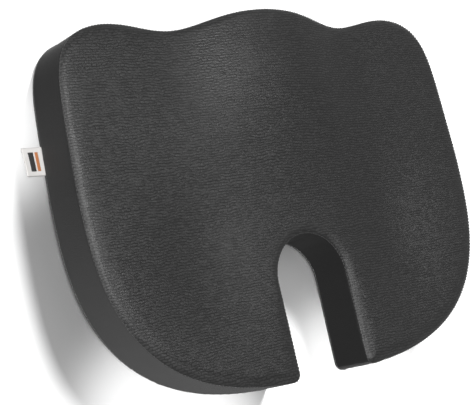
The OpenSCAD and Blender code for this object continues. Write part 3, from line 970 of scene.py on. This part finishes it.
def zip_tape(name, side, node):
    """Woven tape with a thicker cord along its inner edge."""
    inner, outer = TAPE_LOW[1] - ZIP_Y, TAPE_HIGH[1] - ZIP_Y
    low, high = TAPE_LOW[2], TAPE_HIGH[2]
    t = (high - low) / 2
    # The section's lower half, as distances in from the cord's edge and up from the face
    cord = np.array([(0.12, 0.1), (0.5, 0), (0.9, 0.12)]) * MM
    below = [(inner + in_by, low + up_by) for in_by, up_by in cord] + [(outer - 0.3 * MM, low + 0.12 * MM)]
    above = [(y, low + high - z) for y, z in reversed(below)]
    section = [(inner, low + t)] + below + [(outer, low + t)] + above
    rows = []
    for x in np.linspace(TAPE_LOW[0], TAPE_HIGH[0], TAPE_POINTS):
        ripple = TAPE_RIPPLE * math.sin(x / RIPPLE_LENGTH + side)
        row = [(x, ZIP_Y + side * y, z + ripple * (y - inner) / (outer - inner)) for y, z in section]
        rows.append(np.array(row))
    faces = ring_faces(len(rows), len(section))
    if side > 0:
        # The front tape mirrors the rear one, so its faces are turned round
        faces = [face[::-1] for face in faces]
    add_piece(name, np.vstack(rows), faces, "zip_tape", node)


# How much nearer to the middle line the coil comes than in the CAD
COIL_MESH = 0.2 * MM


def zip_coil(name, side, node):
    """One half of the coil: a flattened helix of nylon."""
    low, high = COIL_LOW[1] - ZIP_Y - COIL_MESH, COIL_HIGH[1] - ZIP_Y
    wire = 0.36 * MM
    pitch = 1.6 * MM
    per_turn = 14
    turns = int((COIL_HIGH[0] - COIL_LOW[0] - 2 * wire) / pitch)
    t = np.arange(turns * per_turn + 1) / per_turn
    a = 2 * math.pi * t * side
    x = COIL_LOW[0] + wire + t * pitch + (0 if side > 0 else pitch / 2)
    x = np.minimum(x, COIL_HIGH[0] - wire)
    y = ZIP_Y + side * ((low + high) / 2 - ((high - low) / 2 - wire) * np.cos(a))
    z = (COIL_LOW[2] + COIL_HIGH[2]) / 2 + ((COIL_HIGH[2] - COIL_LOW[2]) / 2 - wire) * np.sin(a)
    add_piece(name, *tube(np.column_stack([x, y, z]), wire, 6), "zip_coil", node)


def zip_stitches(name, side, node):
    y = ZIP_Y + side * (CHANNEL_HALF_W + HEM_W / 2)
    x = np.linspace(ROW_LOW[0], ROW_HIGH[0], 200)
    path = np.column_stack([x, np.full_like(x, y), np.full_like(x, PANEL_Z)])
    add_piece(name, *joined(stitches(path, np.tile((0, 0, -1.0), (len(x), 1)))), "thread", node)


zip_tape("tape_front", 1, "zip_tape_front")
zip_tape("tape_rear", -1, "zip_tape_rear")
zip_coil("coil_front", 1, "zip_coil_front")
zip_coil("coil_rear", -1, "zip_coil_rear")
zip_stitches("stitches_zip_front", 1, "zip_stitch_front")
zip_stitches("stitches_zip_rear", -1, "zip_stitch_rear")


def finish_metal(node, edge):
    """Rounds a CAD node's edges and gives it the worn metal."""
    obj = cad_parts[node]
    weld = obj.modifiers.new("Weld", "WELD")
    weld.merge_threshold = 0.01 * MM
    bevel = obj.modifiers.new("Round", "BEVEL")
    bevel.width = edge
    bevel.segments = 3
    bevel.limit_method = "ANGLE"
    bevel.harden_normals = True
    obj.data.materials.clear()
    obj.data.materials.append(MATERIALS["zip_metal"])


finish_metal("zip_slider", 0.2 * MM)
finish_metal("zip_pull", 0.25 * MM)
finish_metal("zip_top_stops", 0.2 * MM)
finish_metal("zip_bottom_stop", 0.2 * MM)


# ---------------------------------------------------------------- foam core

FOAM_GAP = 3.4 * MM
DENT_TOP = 9.6 * MM
DENT_HALF_W, DENT_RAMP = 15.2 * MM, 7 * MM
# How far the dent's full depth runs past each end of the zip's opening
DENT_PAST = 5 * MM


def foam_base(x, y):
    """Height of the foam's underside, dented by the zip."""
    flat = PANEL_Z + FOAM_GAP
    across = 1 - ease((np.abs(y - ZIP_Y) - DENT_HALF_W) / DENT_RAMP)
    along = 1 - ease((np.abs(x) - CHANNEL_HALF_L - DENT_PAST) / DENT_RAMP)
    return flat + (DENT_TOP - flat) * across * along


GUARD_HALF_W = 14 * MM
GUARD_GAP = 0.3 * MM
GUARD_THICKNESS = 0.25 * MM


def zip_guard():
    """Strip of tape that hides the foam behind the zip. It has no CAD node."""
    x = np.linspace(TAPE_LOW[0], TAPE_HIGH[0], 60)
    y = ZIP_Y + np.linspace(-GUARD_HALF_W, GUARD_HALF_W, 12)
    rows = [np.column_stack([np.full(len(y), v), y, foam_base(v, y) - GUARD_GAP]) for v in x]
    points, faces = strip(rows)
    obj, _ = add_piece("zip_guard", points, faces, "base_cloth", material=MATERIALS["zip_tape"])
    solidify(obj, GUARD_THICKNESS)


def foam_piece():
    rear, side = 40, 160
    s = rim_samples(rear, side)
    radius = EDGE_R - FOAM_GAP
    corner = 2 * MM
    rings = []
    for degrees in (-90, -45, 0):
        a = math.radians(degrees)
        inset = FOAM_GAP + corner * (1 - math.cos(a))
        rings.append(flat_ring(s, inset, PANEL_Z + FOAM_GAP + corner * (1 + math.sin(a))))
    low, high = rings[-1][:, 2], round_ring(s, radius, 0)[:, 2]
    for t in (0.25, 0.5, 0.75):
        rings.append(flat_ring(s, FOAM_GAP, low + t * (high - low)))
    for degrees in (0, 30, 60, 90):
        rings.append(round_ring(s, radius, degrees))
    stack = Stack(rings, rear, side, foam_base, lambda x, y: seat_z(x, y) - FOAM_GAP)
    obj, _ = add_piece("foam", stack.points, stack.faces(), "foam", "foam_core")


zip_guard()
foam_piece()


# ---------------------------------------------------------------- side label

LABEL_LOW, LABEL_HIGH = box("side_label")
STRIPES_LOW, STRIPES_HIGH = box("label_stripes")
LABEL_SHEET = 0.4 * MM
LABEL_CURL = 1.6 * MM
# How far the label's ends reach into the seam
LABEL_TUCK = 0.8 * MM
STRIPE_THICKNESS, STRIPE_LIFT = 0.14 * MM, 0.12 * MM


def side_x(y):
    """Where the left side's wall is, at each y."""
    left = RIM.path[(RIM.path[:, 0] < -BAND_HIGH[0] / 2)]
    order = np.argsort(left[:, 1])
    return np.interp(y, left[order, 1], left[order, 0])


def label_curl(x, y):
    """How far the label is lifted: it curls up towards its fold, a little more at its rear."""
    out = np.clip((side_x(y) - x) / (LABEL_HIGH[0] - LABEL_LOW[0]), 0, 1)
    across = (y - LABEL_LOW[1]) / (LABEL_HIGH[1] - LABEL_LOW[1])
    return LABEL_CURL * out**2 * (1.25 - 0.5 * across + 0.3 * np.sin(across * 5))


def label():
    """Strip of satin folded back on itself, sewn into the bottom seam."""
    middle = (LABEL_LOW[2] + LABEL_HIGH[2]) / 2
    fold_r = (LABEL_HIGH[2] - LABEL_LOW[2] - LABEL_SHEET) / 2
    fold_x = LABEL_LOW[0] + fold_r + LABEL_SHEET / 2
    rows = []
    for y in np.linspace(LABEL_LOW[1], LABEL_HIGH[1], 17):
        seam = float(side_x(y)) + LABEL_TUCK
        flat = np.linspace(seam, fold_x, 14)[:-1]
        lower = [(x, middle - fold_r) for x in flat]
        turn = [(fold_x - fold_r * math.sin(a), middle - fold_r * math.cos(a))
                for a in np.linspace(0, math.pi, 9)]
        upper = [(x, middle + fold_r) for x in flat[::-1]]
        section = np.array(lower + turn + upper)
        lift = label_curl(section[:, 0], np.full(len(section), y))
        rows.append(np.column_stack([section[:, 0], np.full(len(section), y), section[:, 1] + lift]))
    points, faces = strip(rows)
    obj, _ = add_piece("folded_label", points, faces, "label_tape", "side_label")
    solidify(obj, LABEL_SHEET, 0)


def label_stripe(name, start, width, material):
    """Thin woven stripe on the label's upper face."""
    x = np.linspace(LABEL_LOW[0] + start, LABEL_LOW[0] + start + width, 7)
    rows = []
    for y in np.linspace(STRIPES_LOW[1], STRIPES_HIGH[1], 15):
        lift = label_curl(x, np.full(len(x), y))
        rows.append(np.column_stack([x, np.full(len(x), y), LABEL_HIGH[2] + STRIPE_LIFT + lift]))
    points, faces = strip(rows)
    obj, _ = add_piece(name, points, faces, "label_print", "label_stripes", material=material)
    solidify(obj, STRIPE_THICKNESS)


label()
label_stripe("stripe_dark", 5 * MM, 5 * MM, stripe_weave("stripe_dark", grey(0.018)))
label_stripe("stripe_copper", 11.5 * MM, 3 * MM, stripe_weave("stripe_copper", (0.38, 0.14, 0.05, 1.0)))


# ---------------------------------------------------------------- floor and light

def add_floor():
    size = 4.0
    mesh = bpy.data.meshes.new("floor")
    corners = [(-size, -size, 0), (size, -size, 0), (size, size, 0), (-size, size, 0)]
    mesh.from_pydata(corners, [], [(0, 1, 2, 3)])
    floor = bpy.data.objects.new("floor", mesh)
    SCENE.collection.objects.link(floor)
    graph = Graph("floor", Base_Color=grey(0.9), Roughness=0.9, Specular_IOR_Level=0.1)
    mesh.materials.append(graph.material)
    return floor


def add_backdrop():
    """White round wall, far behind the cushion, that lights nothing."""
    radius, height, sides = 3.8, 4.0, 96
    a = np.arange(sides) * 2 * math.pi / sides
    ring = np.column_stack([radius * np.cos(a), radius * np.sin(a)])
    points = np.vstack([np.column_stack([ring, np.full(sides, z)]) for z in (-0.02, height)])
    faces = [[i, i + sides, (i + 1) % sides + sides, (i + 1) % sides] for i in range(sides)]
    wall, _ = mesh_object("backdrop", points, faces)
    graph = Graph("backdrop", Base_Color=grey(0), Specular_IOR_Level=0,
                  Emission_Color=grey(1), Emission_Strength=0.95)
    wall.data.materials.append(graph.material)
    wall.visible_diffuse = wall.visible_glossy = False
    wall.visible_transmission = wall.visible_shadow = False


def link_set(name, objects, state):
    """The only objects a light reaches (INCLUDE), or the ones it leaves out (EXCLUDE)."""
    made = bpy.data.collections.new(name)
    for obj in objects:
        made.objects.link(obj)
    for entry in made.collection_objects:
        entry.light_linking.link_state = state
    return made


def add_light(name, data, at, toward, receivers):
    """Light at a place, which shines from the direction toward."""
    light = bpy.data.objects.new(name, data)
    light.location = at
    light.rotation_mode = "QUATERNION"
    light.rotation_quaternion = Vector(toward).to_track_quat("Z", "Y")
    light.light_linking.receiver_collection = receivers
    SCENE.collection.objects.link(light)
    return light


def add_sun(name, toward, strength, softness, receivers):
    """Soft far light from the direction toward."""
    data = bpy.data.lights.new(name, "SUN")
    data.energy = strength
    data.angle = math.radians(softness)
    return add_light(name, data, (0, 0, 1), toward, receivers)


def add_panel_light(name, at, strength, size, receivers):
    """Round studio panel aimed at the middle of the cushion."""
    data = bpy.data.lights.new(name, "AREA")
    data.shape = "DISK"
    data.size = size
    data.energy = strength
    return add_light(name, data, at, at, receivers)


def add_pool(name, x, y, radius, strength, receivers):
    """Round pool of light from straight above."""
    height = 1.5
    data = bpy.data.lights.new(name, "SPOT")
    data.energy = strength
    data.spot_size = 2 * math.atan(radius / height)
    data.spot_blend = 1.0
    data.shadow_soft_size = 0.02
    data.use_shadow = False
    return add_light(name, data, (x, y, height), (0, 0, 1), receivers)


def add_world(strength):
    world = bpy.data.worlds.new("studio")
    world.use_nodes = True
    background = world.node_tree.nodes["Background"]
    background.inputs["Color"].default_value = (1.0, 1.0, 1.0, 1)
    background.inputs["Strength"].default_value = strength
    SCENE.world = world


# The floor has its own lights and sends none back to the cushion, so the cushion's shadow
# and its shading are set separately
add_backdrop()
floor = add_floor()
floor.visible_diffuse = False
floor.visible_glossy = False
floor_only = link_set("floor_only", [floor], "INCLUDE")
all_but_floor = link_set("all_but_floor", [floor], "EXCLUDE")
outer_cloth = link_set(
    "outer_cloth", [bpy.data.objects[name] for name in ("jersey_band", "stitches_bottom")],
    "INCLUDE")
add_sun("floor_key", (0.47, 0.67, 0.57), 6.2, 14, floor_only)
add_pool("floor_pool_rear", -0.15, -0.185, 0.12, 90, floor_only)
add_pool("floor_pool_front", -0.28, 0.10, 0.10, 90, floor_only)
add_pool("floor_pool_slot", 0.01, -0.09, 0.07, 12, floor_only)
add_pool("floor_pool_mouth", 0.06, -0.18, 0.10, 90, floor_only)
add_pool("floor_pool_right", 0.13, -0.22, 0.10, 60, floor_only)
add_panel_light("panel", (-1.25, 0.2, 1.95), 70, 0.5, all_but_floor)
add_sun("gloss", (0.195, 0.071, 0.978), 1.0, 6, all_but_floor).visible_diffuse = False
add_sun("low_left", (-0.12, -0.99, 0.1), 16, 20, outer_cloth).visible_glossy = False
add_sun("low_right", (0.75, 0.6, 0.15), 8, 20, outer_cloth).visible_glossy = False
add_world(0.42)
SCENE.view_settings.view_transform = "Standard"
